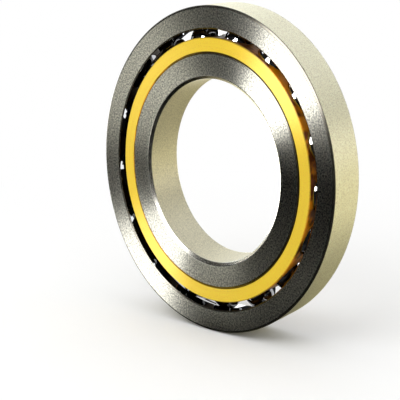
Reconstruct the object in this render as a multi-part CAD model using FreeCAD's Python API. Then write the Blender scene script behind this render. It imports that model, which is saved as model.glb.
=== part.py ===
import FreeCAD, Part
import math
import os

# Single-row angular contact ball bearing with a machined brass cage.
# Millimetres, origin on the bearing axis at mid width, bearing axis along Y, +Z up.
# The outer ring's high thrust shoulder is on the -Y side, its counterbore on the +Y side.

V = FreeCAD.Vector

# ---- boundary dimensions (02 dimension series, bore code 28) ----
bore_r = 140.0 / 2
outside_r = 250.0 / 2
half_w = 42.0 / 2
bore_corner = 2.4           # chamfer at both ends of the bore
outside_corner = 1.5        # chamfer at both ends of the outside diameter

# ---- balls ----
n_balls = 17
ball_d = 28.575             # 1 1/8 inch
ball_r = ball_d / 2
pitch_r = 195.0 / 2
first_ball_deg = 17.6       # angle of ball 1 from +X towards +Z

# ---- grooves ----
contact_deg = 25.0          # contact angle, measured from the radial plane
contact_cos = math.cos(math.radians(contact_deg))
contact_sin = math.sin(math.radians(contact_deg))
race_gap = 0.02             # clearance at each ball contact
groove_r = 0.52 * ball_d
# The ball touches the outer ring on its -Y side and the inner ring on its +Y side.
# Each groove's centre (radius, y) lies on the contact line, so the gap is smallest there.
groove_shift = groove_r - ball_r - race_gap
outer_groove = (pitch_r - groove_shift * contact_cos, groove_shift * contact_sin)
inner_groove = (pitch_r + groove_shift * contact_cos, -groove_shift * contact_sin)

# ---- rings ----
outer_shoulder_r = 107.3    # high shoulder, -Y side
outer_lip_r = 111.6         # low retaining lip, +Y side of the groove
outer_lip_end_y = 5.2       # the lip ends and the counterbore taper starts
outer_relief_r = 113.4      # counterbore near the +Y face
outer_groove_mid_deg = 20.0 # a place midway on the groove arc, from the radial plane to -Y
inner_shoulder_r = 89.6     # both shoulders
face_chamfer = 1.0          # between a face and a shoulder or the counterbore
round_small = 0.35          # blend beside a shoulder or counterbore chamfer
round_large = 1.1           # blend beside a bore or outside chamfer
relief_round = 0.3          # blend where the counterbore meets its chamfer
lip_round = 0.4             # blend where the lip meets the counterbore taper

# ---- cage ----
cage_in_r = 89.95           # guided on the inner ring's shoulders
cage_out_r = 101.0
cage_half_w = 39.8 / 2
cage_chamfer = 0.7
cage_relief_r = 90.7        # turned relief between the two guiding lands
cage_land = 6.4             # axial length of each guiding land
cage_step_w = 1.0           # axial length of the slope from land to relief
cage_round = 0.2            # blend at the chamfers and land edges
cage_relief_round = 0.3     # blend at the ends of the relief

# ---- cage pockets ----
pocket_r = 14.55
pocket_lip_r = 13.25        # narrow end at the cage bore, stops the ball falling inwards
pocket_seat_r = 93.6        # distance from the bearing axis where the narrowing starts
pocket_edge = 0.6           # depth of the broken edge below the mouth
mouth_r = cage_out_r - 1.05 # lowest point of a mouth on the round outside
flare_slope = 0.6           # broken edge's gain in radius per unit of height
cutter_low_r = cage_in_r - 2.0   # the cutters overrun the cage's bore
cutter_top_r = cage_out_r + 3.0  # and its outside


def blend_corner(before, corner, after, blend):
    """Start, middle and end of the arc of radius blend that replaces a corner."""
    to_before = (before - corner).normalize()
    to_after = (after - corner).normalize()
    half_angle = to_before.getAngle(to_after) / 2
    setback = blend / math.tan(half_angle)
    bisector = (to_before + to_after).normalize()
    middle = corner + bisector * (blend / math.sin(half_angle) - blend)
    return corner + to_before * setback, middle, corner + to_after * setback


def outline(points):
    """Closed wire in the (radius, y) half plane.

    Each point is (radius, y, blend), where blend 0 leaves the corner sharp. A fourth
    entry (radius, y) makes the edge that leads to the point an arc through that place.
    """
    count = len(points)
    places = [V(point[0], point[1], 0) for point in points]
    corners = []
    for i, place in enumerate(places):
        blend = points[i][2]
        if blend > 0:
            following = places[(i + 1) % count]
            corners.append(blend_corner(places[i - 1], place, following, blend))
        else:
            corners.append((place, place, place))

    edges = []
    for i, (start, middle, end) in enumerate(corners):
        if points[i][2] > 0:
            edges.append(Part.Arc(start, middle, end).toShape())
        following = (i + 1) % count
        target = corners[following][0]
        if len(points[following]) == 4:
            through = V(*points[following][3], 0)
            edges.append(Part.Arc(end, through, target).toShape())
        else:
            edges.append(Part.LineSegment(end, target).toShape())
    return Part.Wire(edges)


def lathe(points):
    """Turn an outline about the bearing axis."""
    solid = Part.Face(outline(points)).revolve(V(0, 0, 0), V(0, 1, 0), 360)
    if solid.Volume < 0:  # the outline's direction can turn the solid inside out
        solid.reverse()
    return solid


def groove_y(centre, land_r, side):
    """Y where a groove meets a land of radius land_r, on the side -1 or +1."""
    rise = land_r - centre[0]
    return centre[1] + side * math.sqrt(groove_r**2 - rise**2)


def make_outer_ring():
    shoulder = outer_shoulder_r
    mid_angle = math.radians(outer_groove_mid_deg)
    groove_mid = (
        outer_groove[0] + groove_r * math.cos(mid_angle),
        outer_groove[1] - groove_r * math.sin(mid_angle),
    )
    return lathe([
        (shoulder + face_chamfer, -half_w, round_small),
        (outside_r - outside_corner, -half_w, round_large),
        (outside_r, -half_w + outside_corner, round_large),
        (outside_r, half_w - outside_corner, round_large),
        (outside_r - outside_corner, half_w, round_large),
        (outer_relief_r + face_chamfer, half_w, round_small),
        (outer_relief_r, half_w - face_chamfer, relief_round),
        (outer_lip_r, outer_lip_end_y, lip_round),
        (outer_lip_r, groove_y(outer_groove, outer_lip_r, +1), 0),
        (shoulder, groove_y(outer_groove, shoulder, -1), 0, groove_mid),
        (shoulder, -half_w + face_chamfer, round_small),
    ])


def make_inner_ring():
    shoulder = inner_shoulder_r
    groove_mid = (inner_groove[0] - groove_r, inner_groove[1])
    return lathe([
        (bore_r + bore_corner, -half_w, round_large),
        (shoulder - face_chamfer, -half_w, round_small),
        (shoulder, -half_w + face_chamfer, round_small),
        (shoulder, groove_y(inner_groove, shoulder, -1), 0),
        (shoulder, groove_y(inner_groove, shoulder, +1), 0, groove_mid),
        (shoulder, half_w - face_chamfer, round_small),
        (shoulder - face_chamfer, half_w, round_small),
        (bore_r + bore_corner, half_w, round_large),
        (bore_r, half_w - bore_corner, round_large),
        (bore_r, -half_w + bore_corner, round_large),
    ])


def ball_direction(i):
    """Unit vector from the bearing axis towards ball i, counted from 0."""
    angle = math.radians(first_ball_deg + i * 360.0 / n_balls)
    return V(math.cos(angle), 0, math.sin(angle))


def pocket_cutter(outward):
    """A narrowing seat, a straight bore and a flare that breaks the mouth's edge."""
    narrowing = (pocket_r - pocket_lip_r) / (pocket_seat_r - cage_in_r)
    seat_h = pocket_seat_r - cutter_low_r
    seat = Part.makeCone(
        pocket_r - narrowing * seat_h, pocket_r, seat_h, outward * cutter_low_r, outward)
    bore = Part.makeCylinder(
        pocket_r, cutter_top_r - pocket_seat_r, outward * pocket_seat_r, outward)
    flare_low_r = mouth_r - pocket_edge
    flare_h = cutter_top_r - flare_low_r
    flare = Part.makeCone(
        pocket_r, pocket_r + flare_h * flare_slope, flare_h, outward * flare_low_r, outward)
    return seat.fuse([bore, flare])


def make_cage():
    land_y = cage_half_w - cage_land
    relief_y = land_y - cage_step_w
    chamfer_y = cage_half_w - cage_chamfer
    body = lathe([
        (cage_in_r + cage_chamfer, -cage_half_w, cage_round),
        (cage_out_r - cage_chamfer, -cage_half_w, cage_round),
        (cage_out_r, -chamfer_y, cage_round),
        (cage_out_r, chamfer_y, cage_round),
        (cage_out_r - cage_chamfer, cage_half_w, cage_round),
        (cage_in_r + cage_chamfer, cage_half_w, cage_round),
        (cage_in_r, chamfer_y, cage_round),
        (cage_in_r, land_y, cage_round),
        (cage_relief_r, relief_y, cage_relief_round),
        (cage_relief_r, -relief_y, cage_relief_round),
        (cage_in_r, -land_y, cage_round),
        (cage_in_r, -chamfer_y, cage_round),
    ])
    return body.cut([pocket_cutter(ball_direction(i)) for i in range(n_balls)])


def make_ball(i):
    outward = ball_direction(i)
    ball = Part.makeSphere(ball_r)
    # The sphere's poles are turned onto the ball's spin axis.
    spin_axis = outward * contact_sin + V(0, contact_cos, 0)
    turn = FreeCAD.Rotation(V(0, 0, 1), spin_axis)
    ball.Placement = FreeCAD.Placement(outward * pitch_r, turn)
    return ball


def export(name, shape):
    if len(shape.Solids) != 1 or not shape.isValid():
        raise SystemExit(f"{name} is not one valid solid")
    shape.Solids[0].exportStep(f"parts/{name}.step")


os.makedirs("parts", exist_ok=True)
export("outer_ring", make_outer_ring())
export("inner_ring", make_inner_ring())
export("cage", make_cage())
for i in range(n_balls):
    export(f"ball_{i + 1:02d}", make_ball(i))
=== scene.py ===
# Looks for the angular contact ball bearing. Metres, row frame: axis along Y, +Z up, front face towards -Y.
import bpy
import math
import numpy as np
from mathutils import Matrix, Vector


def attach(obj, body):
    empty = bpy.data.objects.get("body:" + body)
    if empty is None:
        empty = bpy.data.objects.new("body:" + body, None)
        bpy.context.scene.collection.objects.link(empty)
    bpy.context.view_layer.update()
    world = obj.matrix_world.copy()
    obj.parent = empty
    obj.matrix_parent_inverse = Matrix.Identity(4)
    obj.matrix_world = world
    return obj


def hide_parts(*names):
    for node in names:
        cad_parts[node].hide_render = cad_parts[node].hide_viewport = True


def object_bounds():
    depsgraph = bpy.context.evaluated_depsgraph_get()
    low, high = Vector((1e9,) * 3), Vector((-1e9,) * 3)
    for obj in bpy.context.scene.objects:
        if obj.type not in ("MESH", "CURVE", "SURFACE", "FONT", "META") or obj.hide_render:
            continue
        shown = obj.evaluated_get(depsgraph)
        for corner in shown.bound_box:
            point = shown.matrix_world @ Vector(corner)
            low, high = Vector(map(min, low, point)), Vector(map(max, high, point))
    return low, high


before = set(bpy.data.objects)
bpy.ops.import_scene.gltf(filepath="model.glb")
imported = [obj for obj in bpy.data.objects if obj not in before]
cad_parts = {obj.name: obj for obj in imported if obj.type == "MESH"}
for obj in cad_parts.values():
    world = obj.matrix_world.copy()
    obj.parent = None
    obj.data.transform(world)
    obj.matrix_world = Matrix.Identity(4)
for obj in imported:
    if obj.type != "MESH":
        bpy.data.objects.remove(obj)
cad_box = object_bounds()
MM = 0.001

# ------------------------------------------------------------------ ring profiles (mm, same numbers as the CAD part)
HALF_W, OUT_C, BORE_C, ROUND = 21.0, 1.5, 2.4, 1.1
BALL_R, PITCH_R, ALPHA = 28.575 / 2, 97.5, math.radians(25.0)
GROOVE_R = 0.52 * 28.575
SHIFT = GROOVE_R - BALL_R - 0.02
OUT_G = (PITCH_R - SHIFT * math.cos(ALPHA), +SHIFT * math.sin(ALPHA))
IN_G = (PITCH_R + SHIFT * math.cos(ALPHA), -SHIFT * math.sin(ALPHA))
FACE, CYL, TURNED, RACE = 0, 1, 2, 3          # finishes of a ring, in material order


def groove_y(c, r, side):
    return c[1] + side * math.sqrt(GROOVE_R ** 2 - (r - c[0]) ** 2)


def profile(points):
    """points: ("c", x, y, blend, finish) corners and ("a", x, y, cx, cy, finish) arcs that end at x, y round a centre. The finish is
    that of the edge that ends at the point; blend arcs take the turned finish. Returns primitives [(positions, normals, finish)]."""
    n = len(points)
    P = [np.array(p[1:3], float) for p in points]
    blends = []
    for i, p in enumerate(points):
        r = p[3] if p[0] == "c" else 0.0
        if r > 0:
            a = P[i - 1] - P[i]; b = P[(i + 1) % n] - P[i]
            a /= np.linalg.norm(a); b /= np.linalg.norm(b)
            half = math.acos(max(-1, min(1, float(a @ b)))) / 2
            t = r / math.tan(half)
            m = a + b; m /= np.linalg.norm(m)
            blends.append((P[i] + a * t, P[i] + b * t, P[i] + m * r / math.sin(half), r))
        else:
            blends.append((P[i], P[i], None, 0))
    area = 0.0
    for i in range(n):
        a, b = P[i], P[(i + 1) % n]
        area += a[0] * b[1] - a[1] * b[0]
    s = 1.0 if area > 0 else -1.0
    prims = []

    def arc(c, a, b, steps, finish):
        ta, tb = math.atan2(*(a - c)[::-1]), math.atan2(*(b - c)[::-1])
        d = (tb - ta + math.pi) % (2 * math.pi) - math.pi
        rr = np.linalg.norm(a - c)
        sign = 1.0 if d * s > 0 else -1.0       # turning with the outline is a convex corner
        ts = ta + d * np.linspace(0, 1, steps + 1)
        u = np.stack([np.cos(ts), np.sin(ts)], 1)
        prims.append((c + u * rr, u * sign, finish))

    for i in range(n):
        j = (i + 1) % n
        a, b = blends[i][1], blends[j][0]
        q = points[j]
        if q[0] == "a":
            arc(np.array(q[3:5], float), a, b, 44, q[5])
        else:
            d = b - a; L = np.linalg.norm(d)
            if L > 1e-7:
                nrm = np.array([d[1], -d[0]]) / L * s
                k = max(1, int(L // 4.0))
                prims.append((a + np.linspace(0, 1, k + 1)[:, None] * d, np.repeat(nrm[None], k + 1, 0), q[4]))
            if blends[j][2] is not None:
                arc(blends[j][2], blends[j][0], blends[j][1], 8 if q[3] > 0.5 else 4, TURNED)
    return prims, s


def lathe(name, points, segs, mats):
    prims, s = profile(points)
    phi = np.linspace(0, 2 * math.pi, segs, endpoint=False)
    c, sn = np.cos(phi), np.sin(phi)
    rows, faces, norms, fin = [], [], [], []
    for pos, nor, finish in prims:
        first = len(rows)
        if rows and np.linalg.norm(rows[-1] - pos[0]) < 1e-6:
            first -= 1
        else:
            rows.append(pos[0])
        rows.extend(pos[1:])
        for k in range(len(pos) - 1):
            faces.append((first + k, first + k + 1, nor[k], nor[k + 1], finish))
    if np.linalg.norm(rows[-1] - rows[0]) < 1e-6:
        last = len(rows) - 1
        rows.pop()
        faces = [((a % last), (b % last), na, nb, f) for a, b, na, nb, f in faces]
    R = np.array(rows)
    verts = np.stack([np.outer(R[:, 0], c), np.repeat(R[:, 1][:, None], segs, 1), np.outer(R[:, 0], sn)], 2).reshape(-1, 3) * MM
    polys, loops, mi = [], [], []
    for a, b, na, nb, f in faces:
        for k in range(segs):
            m = (k + 1) % segs
            quad = [(a, k, na), (b, k, nb), (b, m, nb), (a, m, na)]
            if s < 0:
                quad.reverse()
            polys.append([q[0] * segs + q[1] for q in quad])
            loops.extend([(q[2][0] * c[q[1]], q[2][1], q[2][0] * sn[q[1]]) for q in quad])
            mi.append(f)
    me = bpy.data.meshes.new(name)
    me.from_pydata(verts.tolist(), [], polys)
    for m in mats:
        me.materials.append(m)
    me.polygons.foreach_set("material_index", mi)
    me.polygons.foreach_set("use_smooth", [True] * len(polys))
    me.update()
    # the winding is turned to agree with the stated normals
    p0 = me.polygons[0]
    if Vector(loops[0]).dot(p0.normal) < 0:
        me.flip_normals()
        fixed = []
        for p in range(len(polys)):
            q = loops[4 * p:4 * p + 4]
            fixed.extend([q[0], q[3], q[2], q[1]])
        loops = fixed
    me.normals_split_custom_set(loops)
    me.validate(clean_customdata=False)
    ob = bpy.data.objects.new(name, me)
    bpy.context.scene.collection.objects.link(ob)
    return ob


# ------------------------------------------------------------------ node helpers
class Tree:
    def __init__(self, nt):
        self.nt = nt

    def new(self, kind, **props):
        n = self.nt.nodes.new(kind)
        for k, v in props.items():
            setattr(n, k, v)
        return n

    def put(self, sock, v):
        if v is None:
            return
        if isinstance(v, bpy.types.NodeSocket):
            self.nt.links.new(v, sock)
        else:
            sock.default_value = v

    def math(self, op, a, b=None, c=None, clamp=False):
        n = self.new("ShaderNodeMath", operation=op, use_clamp=clamp)
        for i, v in enumerate((a, b, c)):
            self.put(n.inputs[i], v)
        return n.outputs[0]

    def vmath(self, op, a, b=None, out=0):
        n = self.new("ShaderNodeVectorMath", operation=op)
        self.put(n.inputs[0], a)
        if op == "SCALE":
            self.put(n.inputs["Scale"], b)
        else:
            self.put(n.inputs[1], b)
        return n.outputs[out]

    def ramp(self, x, lo, hi, a=0.0, b=1.0, smooth=True):
        n = self.new("ShaderNodeMapRange", interpolation_type="SMOOTHSTEP" if smooth else "LINEAR", clamp=True)
        for k, v in zip(("Value", "From Min", "From Max", "To Min", "To Max"), (x, lo, hi, a, b)):
            self.put(n.inputs[k], v)
        return n.outputs[0]

    def mix(self, f, a, b, blend="MIX"):
        n = self.new("ShaderNodeMix", data_type="RGBA", blend_type=blend)
        self.put(n.inputs[0], f); self.put(n.inputs[6], a); self.put(n.inputs[7], b)
        return n.outputs[2]

    def noise(self, vec, scale, detail=2.0, rough=0.5, dims="3D"):
        n = self.new("ShaderNodeTexNoise", noise_dimensions=dims)
        self.put(n.inputs["Vector"], vec)
        self.put(n.inputs["Scale"], scale); self.put(n.inputs["Detail"], detail); self.put(n.inputs["Roughness"], rough)
        return n.outputs[0]

    def split(self, v):
        n = self.new("ShaderNodeSeparateXYZ"); self.put(n.inputs[0], v)
        return n.outputs

    def join(self, x, y, z):
        n = self.new("ShaderNodeCombineXYZ")
        for i, v in enumerate((x, y, z)):
            self.put(n.inputs[i], v)
        return n.outputs[0]


def material(name):
    m = bpy.data.materials.new(name)
    m.use_nodes = True
    nt = m.node_tree
    nt.nodes.clear()
    t = Tree(nt)
    out = t.new("ShaderNodeOutputMaterial")
    b = t.new("ShaderNodeBsdfPrincipled")
    nt.links.new(b.outputs[0], out.inputs[0])
    return m, t, b


def lathe_coords(t):
    """Object coordinates (m), radius, axial position and unit radial vector."""
    co = t.new("ShaderNodeTexCoord").outputs["Object"]
    x, y, z = t.split(co)
    flat = t.join(x, 0.0, z)
    r = t.vmath("LENGTH", flat, out=1)
    rho = t.vmath("NORMALIZE", flat)
    return co, r, y, rho


def to_world(t, v):
    n = t.new("ShaderNodeVectorTransform", vector_type="VECTOR", convert_from="OBJECT", convert_to="WORLD")
    t.put(n.inputs[0], v)
    return n.outputs[0]


def grain(t, co, base, amount, scale=900.0, width=0.20):
    """A fine speckle on a colour."""
    a = t.noise(co, scale, 2.0, 0.6)
    k = t.ramp(a, 0.5 - width, 0.5 + width, 1.0 - 0.7 * amount, 1.0 + 1.2 * amount, smooth=False)
    col = t.mix(1.0, base, t.join(k, k, k), "MULTIPLY")
    return col


def ring_lines(t, along, rho, fine, coarse=None):
    """Concentric tool marks: noise drawn out round the axis. along is the coordinate across the lines, in metres."""
    rx, _, rz = t.split(rho)
    v = t.join(t.math("MULTIPLY", along, fine), t.math("MULTIPLY", rx, 2.2), t.math("MULTIPLY", rz, 2.2))
    return t.noise(v, 1.0, 3.0, 0.6)


# ------------------------------------------------------------------ finishes
def steel_face():
    m, t, b = material("ground_face")
    co, r, y, rho = lathe_coords(t)
    lines = ring_lines(t, r, rho, 1500.0)
    wide = ring_lines(t, r, rho, 260.0)
    # The rear faces get a darker, cooler copy of the steel colour than the front faces: painted shade, against which
    # the rear softbox's highlight stands out.
    rear = t.ramp(t.split(t.new("ShaderNodeTexCoord").outputs["Normal"])[1], -0.2, 0.2)
    col = t.mix(rear, grain(t, co, (0.565, 0.55, 0.482, 1), 0.55, 760.0, 0.13), grain(t, co, (0.46, 0.475, 0.505, 1), 0.14, 760.0, 0.13))
    k = t.ramp(lines, 0.25, 0.75, 0.90, 1.08, smooth=False)
    col = t.mix(1.0, col, t.join(k, k, k), "MULTIPLY")
    t.put(b.inputs["Base Color"], col)
    b.inputs["Metallic"].default_value = 1.0
    t.put(b.inputs["Roughness"], t.math("MULTIPLY_ADD", rear, -0.10, t.ramp(wide, 0.3, 0.7, 0.39, 0.43, smooth=False)))
    b.inputs["Anisotropic"].default_value = 1.0
    t.put(b.inputs["Tangent"], to_world(t, rho))
    bump = t.new("ShaderNodeBump")
    bump.inputs["Strength"].default_value = 0.25
    bump.inputs["Distance"].default_value = 0.00002
    t.put(bump.inputs["Height"], lines)
    t.put(b.inputs["Normal"], bump.outputs[0])
    return m


def steel_cylinder():
    m, t, b = material("ground_cylinder")
    co, r, y, rho = lathe_coords(t)
    lines = ring_lines(t, y, rho, 1200.0)
    # painted shade: the bore inside the inner ring gets a darker, browner copy of the ground steel colour than the
    # outside of the outer ring
    tone = t.mix(t.ramp(r, 0.09, 0.10), (0.73, 0.69, 0.54, 1), (0.90, 0.865, 0.69, 1))       # bore, outside
    col = grain(t, co, tone, 0.19, 900.0, 0.14)
    k = t.ramp(lines, 0.25, 0.75, 0.95, 1.04, smooth=False)
    col = t.mix(1.0, col, t.join(k, k, k), "MULTIPLY")
    t.put(b.inputs["Base Color"], col)
    b.inputs["Metallic"].default_value = 1.0
    b.inputs["Roughness"].default_value = 0.50
    b.inputs["Anisotropic"].default_value = 0.5
    t.put(b.inputs["Tangent"], to_world(t, t.join(0.0, 1.0, 0.0)))
    bump = t.new("ShaderNodeBump")
    bump.inputs["Strength"].default_value = 0.2
    bump.inputs["Distance"].default_value = 0.00002
    t.put(bump.inputs["Height"], lines)
    t.put(b.inputs["Normal"], bump.outputs[0])
    return m


def steel_turned():
    m, t, b = material("turned_edge")
    co, r, y, rho = lathe_coords(t)
    # The bore corners are coloured by the way they face in the world: a painted highlight, near white, where they face
    # left; a painted shade, near black, where they face down and to the right; grey between.
    nx, _, nz = t.split(t.new("ShaderNodeNewGeometry").outputs["Normal"])
    painted_shade_down_right = t.math("MULTIPLY", t.ramp(nx, -0.10, 0.15), t.ramp(nz, -0.24, -0.10, 1.0, 0.0))
    bright = t.mix(t.ramp(nx, -0.25, -0.05), (0.95, 0.97, 1.0, 1), (0.62, 0.60, 0.54, 1))
    bore = t.mix(painted_shade_down_right, bright, (0.13, 0.125, 0.11, 1))
    tone = t.mix(t.ramp(r, 0.0725, 0.0735), bore, (0.24, 0.225, 0.19, 1))     # bore corners, the rest
    col = grain(t, co, tone, 0.12, 900.0)
    t.put(b.inputs["Base Color"], col)
    b.inputs["Metallic"].default_value = 1.0
    b.inputs["Roughness"].default_value = 0.24
    return m


def steel_race():
    m, t, b = material("honed_raceway")
    co, r, y, rho = lathe_coords(t)
    # The raceway steel is painted nearly black: painted shade, so that the gap between the rings looks dark.
    col = grain(t, co, (0.12, 0.12, 0.12, 1), 0.05, 700.0)
    t.put(b.inputs["Base Color"], col)
    b.inputs["Metallic"].default_value = 1.0
    b.inputs["Roughness"].default_value = 0.0
    return m


def ball_steel():
    m, t, b = material("ball_steel")
    co = t.new("ShaderNodeTexCoord").outputs["Object"]
    col = grain(t, co, (0.80, 0.81, 0.83, 1), 0.03, 300.0)
    t.put(b.inputs["Base Color"], col)
    b.inputs["Metallic"].default_value = 1.0
    b.inputs["Roughness"].default_value = 0.0
    return m


def brass():
    m, t, b = material("cage_brass")
    co, r, y, rho = lathe_coords(t)
    lines = ring_lines(t, r, rho, 900.0)
    # painted shade: the sides and the pockets, down in the narrow gap between the rings, are painted a darker, redder
    # amber than the yellow faces
    side = t.math("ABSOLUTE", t.split(t.new("ShaderNodeTexCoord").outputs["Normal"])[1])
    # painted shade also along the faces' inner edge, in the crevice next to the inner ring
    edge = t.ramp(r, 0.0900, 0.0908)
    side = t.math("MULTIPLY", t.ramp(side, 0.45, 0.95), t.math("MULTIPLY_ADD", edge, 0.8, 0.2))
    # painted light on the amber: sides that face right in the world keep the streaked amber, the others are painted
    # almost black
    lit = t.ramp(t.split(t.new("ShaderNodeNewGeometry").outputs["Normal"])[0], 0.05, 0.60)
    streak = t.noise(co, 75.0, 2.0, 0.5)
    amber = t.mix(t.ramp(streak, 0.40, 0.58), (0.16, 0.035, 0.001, 1), (1.0, 0.33, 0.003, 1))
    amber = t.mix(lit, (0.10, 0.035, 0.003, 1), amber)
    tone = t.mix(side, amber, (1.0, 0.68, 0.008, 1))
    col = grain(t, co, tone, 0.10, 900.0)
    k = t.ramp(lines, 0.25, 0.75, 0.93, 1.05, smooth=False)
    col = t.mix(1.0, col, t.join(k, k, k), "MULTIPLY")
    t.put(b.inputs["Base Color"], col)
    b.inputs["Metallic"].default_value = 0.17
    b.inputs["IOR"].default_value = 1.9
    t.put(b.inputs["Specular IOR Level"], t.ramp(side, 0.2, 0.8, 0.15, 0.9, smooth=False))
    b.inputs["Roughness"].default_value = 0.45
    b.inputs["Anisotropic"].default_value = 0.95
    t.put(b.inputs["Tangent"], to_world(t, rho))
    bump = t.new("ShaderNodeBump")
    bump.inputs["Strength"].default_value = 0.2
    bump.inputs["Distance"].default_value = 0.00003
    t.put(bump.inputs["Height"], lines)
    t.put(b.inputs["Normal"], bump.outputs[0])
    return m


ring_mats = [steel_face(), steel_cylinder(), steel_turned(), steel_race()]

# ------------------------------------------------------------------ rings
s_o, lip, lip_end, relief = 107.3, 111.6, 5.2, 113.4
outer = lathe("outer_ring_body", [
    ("c", s_o + 1.0, -HALF_W, 0.35, TURNED),
    ("c", 125 - OUT_C, -HALF_W, ROUND, FACE),
    ("c", 125, -HALF_W + OUT_C, ROUND, TURNED),
    ("c", 125, HALF_W - OUT_C, ROUND, CYL),
    ("c", 125 - OUT_C, HALF_W, ROUND, TURNED),
    ("c", relief + 1.0, HALF_W, 0.35, FACE),
    ("c", relief, HALF_W - 1.0, 0.3, TURNED),
    ("c", lip, lip_end, 0.4, RACE),
    ("c", lip, groove_y(OUT_G, lip, +1), 0, RACE),
    ("a", s_o, groove_y(OUT_G, s_o, -1), OUT_G[0], OUT_G[1], RACE),
    ("c", s_o, -HALF_W + 1.0, 0.35, RACE),
], 384, ring_mats)
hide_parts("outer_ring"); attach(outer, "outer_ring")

s_i = 89.6
inner = lathe("inner_ring_body", [
    ("c", 70 + BORE_C, -HALF_W, ROUND, TURNED),
    ("c", s_i - 1.0, -HALF_W, 0.35, FACE),
    ("c", s_i, -HALF_W + 1.0, 0.35, TURNED),
    ("c", s_i, groove_y(IN_G, s_i, -1), 0, RACE),
    ("a", s_i, groove_y(IN_G, s_i, +1), IN_G[0], IN_G[1], RACE),
    ("c", s_i, HALF_W - 1.0, 0.35, RACE),
    ("c", s_i - 1.0, HALF_W, 0.35, TURNED),
    ("c", 70 + BORE_C, HALF_W, ROUND, FACE),
    ("c", 70, HALF_W - BORE_C, ROUND, TURNED),
    ("c", 70, -HALF_W + BORE_C, ROUND, CYL),
], 320, ring_mats)
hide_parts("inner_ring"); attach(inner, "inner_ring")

# ------------------------------------------------------------------ cage and balls keep their CAD shape
cage_mat, ball_mat = brass(), ball_steel()
for n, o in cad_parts.items():
    if n == "cage":
        o.data.materials.clear(); o.data.materials.append(cage_mat)
    elif n.startswith("ball_"):
        o.data.materials.clear(); o.data.materials.append(ball_mat)

# ------------------------------------------------------------------ floor, light, camera
VIEW = Vector((0.5742, -0.7948, 0.1961)).normalized()      # from the bearing to the camera
floor_z = cad_box[0][2]
me = bpy.data.meshes.new("floor")
S = 9.0
me.from_pydata([(-S, -S, 0), (S, -S, 0), (S, S, 0), (-S, S, 0)], [], [(0, 1, 2, 3)])
floor = bpy.data.objects.new("floor", me)
floor.location = (0, 0, floor_z - 0.0002)
bpy.context.scene.collection.objects.link(floor)
m, t, b = material("pale_floor")
b.inputs["Base Color"].default_value = (0.90, 0.90, 0.895, 1)
b.inputs["Roughness"].default_value = 0.9
b.inputs["Specular IOR Level"].default_value = 0.0
co = t.new("ShaderNodeTexCoord").outputs["Object"]
fx, fy, _ = t.split(co)


def band(t, v, lo, hi, soft):
    return t.math("MULTIPLY", t.ramp(v, lo - soft, lo + soft), t.ramp(v, hi - soft, hi + soft, 1.0, 0.0))


# far from the bearing the table runs out into plain white
far = t.ramp(t.vmath("LENGTH", co, out=1), 0.22, 0.60)
# what polished metal sees of the table is a painted glow that only glossy rays see: a painted lit strip at the front
# left, dark elsewhere in front, bright behind but for a painted shadow
slant = t.math("ADD", t.math("MULTIPLY_ADD", fy, -0.649, 0.034), fx)
strip = t.math("MULTIPLY", t.ramp(slant, -0.015, 0.02), band(t, fy, -0.465, -0.13, 0.02))
strip = t.math("MULTIPLY", strip, t.ramp(fx, 0.15, 0.30, 1.0, 0.0))
front = t.math("MULTIPLY_ADD", strip, 2.35, 0.02)
sx = t.math("DIVIDE", t.math("SUBTRACT", fx, 0.05), 0.21)
sy = t.math("DIVIDE", t.math("SUBTRACT", fy, 0.16), 0.30)
shade = t.ramp(t.vmath("LENGTH", t.join(sx, sy, 0.0), out=1), 0.55, 1.10, 0.44, 0.90)
# a painted dark streak on the table behind, on the left, and next to it a painted brighter band
shade = t.math("MULTIPLY", shade, t.math("MULTIPLY_ADD", band(t, fx, -1.12, -0.465, 0.02), -0.97, 1.0))
shade = t.math("MULTIPLY", shade, t.math("MULTIPLY_ADD", band(t, fx, -0.445, -0.30, 0.02), 0.8, 1.0))
# a painted bright patch on the table behind, at the left
rear_left = t.math("MULTIPLY", t.ramp(fx, -0.34, -0.17, 1.0, 0.0), t.ramp(fy, 0.20, 0.32))
behind = t.mix(rear_left, t.join(shade, t.math("MULTIPLY", shade, 0.93), t.math("MULTIPLY", shade, 0.60)), (3.6, 3.5, 3.15, 1))
painted_floor_glow = t.mix(t.ramp(fy, -0.03, 0.05), t.join(front, front, t.math("MULTIPLY", front, 0.93)), behind)
lp = t.new("ShaderNodeLightPath")
glow = t.new("ShaderNodeEmission")
t.put(glow.inputs[0], painted_floor_glow)
# mirror rays see the table as a painted near-black
painted_dark_floor = t.new("ShaderNodeEmission")
painted_dark_floor.inputs[0].default_value = (0.02, 0.02, 0.02, 1)
white = t.new("ShaderNodeEmission")


def mix_shader(t, f, a, b2):
    n = t.new("ShaderNodeMixShader")
    t.put(n.inputs[0], f)
    t.nt.links.new(a, n.inputs[1])
    t.nt.links.new(b2, n.inputs[2])
    return n.outputs[0]


surf = mix_shader(t, far, b.outputs[0], white.outputs[0])
gl = mix_shader(t, lp.outputs["Is Singular Ray"], glow.outputs[0], painted_dark_floor.outputs[0])
surf = mix_shader(t, lp.outputs["Is Glossy Ray"], surf, gl)
outn = [n for n in m.node_tree.nodes if n.type == "OUTPUT_MATERIAL"][0]
t.nt.links.new(surf, outn.inputs[0])
me.materials.append(m)


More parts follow.
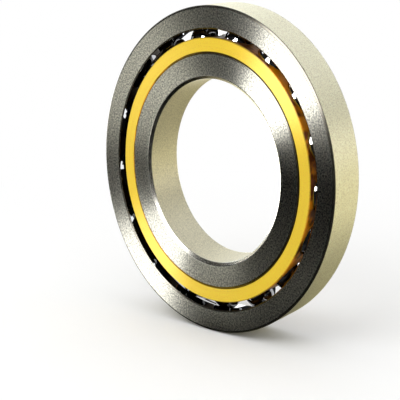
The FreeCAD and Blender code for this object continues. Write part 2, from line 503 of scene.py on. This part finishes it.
# A black card stands low at the front right, where smaller bearings stood: only polished metal sees it, as a painted
# dark reflection.
me = bpy.data.meshes.new("black_card")
me.from_pydata([(-0.05, -0.13, -0.124), (0.32, -0.13, -0.124), (0.32, -0.13, 0.032), (-0.05, -0.13, 0.032)], [], [(0, 1, 2, 3)])
card = bpy.data.objects.new("black_card", me)
bpy.context.scene.collection.objects.link(card)
card.visible_camera = card.visible_diffuse = card.visible_shadow = card.visible_transmission = False
m, t, b = material("black_card")
b.inputs["Base Color"].default_value = (0.01, 0.01, 0.01, 1)
b.inputs["Roughness"].default_value = 1.0
b.inputs["Specular IOR Level"].default_value = 0.0
me.materials.append(m)


def rect_light(name, direction, dist, w, h, radiance, color=(1, 1, 1)):
    L = bpy.data.lights.new(name, "AREA")
    L.shape = "RECTANGLE"; L.size = w; L.size_y = h
    L.energy = radiance * math.pi * w * h
    L.color = color
    o = bpy.data.objects.new(name, L)
    d = Vector(direction).normalized()
    o.location = d * dist
    o.rotation_euler = d.to_track_quat("Z", "Y").to_euler()
    bpy.context.scene.collection.objects.link(o)
    o.visible_camera = False
    o.visible_glossy = False
    return o


# soft shaping of the matt surfaces and the shadow on the table; the reflections come from the studio round it
rect_light("key", (-0.10, -0.75, 0.75), 1.9, 1.2, 1.0, 2.25)

world = bpy.data.worlds.new("studio")
bpy.context.scene.world = world
world.use_nodes = True
world.cycles.sampling_method = "NONE"
nt = world.node_tree
nt.nodes.clear()
t = Tree(nt)
out = t.new("ShaderNodeOutputWorld")
bg = t.new("ShaderNodeBackground")
nt.links.new(bg.outputs[0], out.inputs[0])
d = t.vmath("NORMALIZE", t.new("ShaderNodeTexCoord").outputs["Generated"])
x, y, z = t.split(d)

# The main light is a fan-shaped softbox high in front. It is laid out by the half vector between it and the camera, so that
# its long edges are those of the bright wedge on a face with concentric grinding marks.
h = t.vmath("NORMALIZE", t.vmath("ADD", d, tuple(VIEW)))
hx, hy, hz = t.split(h)
FAN = math.radians(46.8)
along = t.math("ADD", t.math("MULTIPLY", hx, math.cos(FAN)), t.math("MULTIPLY", hz, math.sin(FAN)))
across = t.math("SUBTRACT", t.math("MULTIPLY", hz, math.cos(FAN)), t.math("MULTIPLY", hx, math.sin(FAN)))
slope = t.math("DIVIDE", t.math("ABSOLUTE", across), t.math("MAXIMUM", along, 0.0001))
fan = t.math("MULTIPLY", t.ramp(slope, 0.29, 0.375, 1.0, 0.0), t.ramp(along, 0.10, 0.20))
fan = t.math("MULTIPLY", fan, t.ramp(along, 0.72, 0.84, 1.0, 0.0))

back = t.ramp(y, 0.05, 0.45)
level = t.math("ADD", t.ramp(x, -0.6, -0.1, 0.86, 0.55), t.ramp(z, -0.15, 0.15, 0.12, 0.0))
level = t.math("ADD", level, t.math("MULTIPLY", t.ramp(y, 0.55, 0.80), t.ramp(x, -0.60, -0.30, 0.75, 0.0)))     # window at the back left
warm = t.math("SUBTRACT", t.math("MULTIPLY", x, 0.8), z)
blue = t.ramp(warm, -0.5, 0.6, 1.0, 0.60, smooth=False)
green = t.ramp(warm, -0.5, 0.6, 1.02, 0.93, smooth=False)
room = t.ramp(z, -0.1, 0.6, 0.02, 0.05)
r_ = t.math("ADD", t.math("MULTIPLY", back, level), t.math("MULTIPLY", t.math("SUBTRACT", 1.0, back), room))
env = t.join(r_, t.math("MULTIPLY", r_, green), t.math("MULTIPLY", r_, blue))
key = t.math("MULTIPLY", fan, 6.0)
env = t.vmath("ADD", env, t.join(key, key, key))


def box_patch(direction, half_deg, value, soft=1.5):
    """A square patch of light round a direction."""
    c = Vector(direction).normalized()
    sx = c.cross(Vector((0, 0, 1))).normalized()
    sz = sx.cross(c)
    f = t.math("MAXIMUM", t.vmath("DOT_PRODUCT", d, tuple(c), out=1), 0.0001)
    u = t.math("ABSOLUTE", t.math("DIVIDE", t.vmath("DOT_PRODUCT", d, tuple(sx), out=1), f))
    w = t.math("ABSOLUTE", t.math("DIVIDE", t.vmath("DOT_PRODUCT", d, tuple(sz), out=1), f))
    lo, hi = math.tan(math.radians(half_deg - soft)), math.tan(math.radians(half_deg + soft))
    return t.math("MULTIPLY", t.math("MULTIPLY", t.ramp(u, lo, hi, 1.0, 0.0), t.ramp(w, lo, hi, 1.0, 0.0)), value)


# a small second softbox behind, in a darker surround, puts a highlight of the same kind on the rear faces
REAR = (0.59, 0.795, 0.11)
hood = t.math("SUBTRACT", 1.0, box_patch(REAR, 20, 0.55, 6.0))
env = t.vmath("MULTIPLY", env, t.join(hood, hood, hood))
rear = box_patch(REAR, 6.0, 3.3, 2.5)
env = t.vmath("ADD", env, t.join(rear, t.math("MULTIPLY", rear, 0.97), t.math("MULTIPLY", rear, 0.85)))

# mirror-bright balls and raceways see the same room as dark, with the lamps' windows in it
mirror = t.ramp(y, 0.35, 0.60, 0.012, 3.0)
for patch in (box_patch((-0.08, -0.98, 0.12), 14, 9.0), box_patch((0.04, -0.87, 0.49), 10, 9.0), box_patch((-0.93, -0.15, 0.12), 12, 6.0)):
    mirror = t.math("MAXIMUM", mirror, patch)
lp = t.new("ShaderNodeLightPath")
plain = t.math("MAXIMUM", lp.outputs["Is Camera Ray"], lp.outputs["Is Diffuse Ray"])
both = t.mix(lp.outputs["Is Singular Ray"], env, t.join(mirror, mirror, mirror))
t.put(bg.inputs["Color"], t.mix(plain, both, (1.0, 1.0, 1.0, 1)))
bg.inputs["Strength"].default_value = 1.0

# The camera stands at the photograph's place and has an anamorphic frame, so that the bearing is drawn as tall and narrow as it is
# there: the two spans are the angles that the frame's width and height cover. Moved anywhere else, it becomes a plain camera.
cam = bpy.data.cameras.new("camera")
cam.sensor_width = 36.0
cam.lens = 18.0 / math.tan(0.4)
cam.clip_start = 0.05
cam.panorama_type = "EQUIRECTANGULAR"
SPAN_X, SPAN_Y = 200 / 1132.993, 200 / 1324.358
cam.longitude_min, cam.longitude_max = -SPAN_X, SPAN_X
cam.latitude_min, cam.latitude_max = -SPAN_Y, SPAN_Y
co = bpy.data.objects.new("camera", cam)
place = Vector((579.71, -802.40, 198.02)) * MM
look = Vector((-0.58927499, 0.77735317, -0.220175))
right = Vector((0.79690901, 0.60409935, 0.0))
up = Vector((-0.13300758, 0.17545944, 0.97546039))
co.location = place
co.rotation_euler = Matrix((right, up, -look)).transposed().to_euler()
bpy.context.scene.collection.objects.link(co)
bpy.context.scene.camera = co
cam.type = "PANO"
dr = cam.driver_add("type").driver
dr.type = "SCRIPTED"
for name, kind in (("x", "LOC_X"), ("z", "LOC_Z")):
    v = dr.variables.new()
    v.name, v.type = name, "TRANSFORMS"
    v.targets[0].id = co
    v.targets[0].transform_type = kind
    v.targets[0].transform_space = "WORLD_SPACE"
dr.expression = f"2 if abs(z - {place.z:.5f}) + abs(x - {place.x:.5f}) < 0.001 else 0"
sc = bpy.context.scene
sc.view_settings.view_transform = "Standard"
sc.view_settings.look = "None"
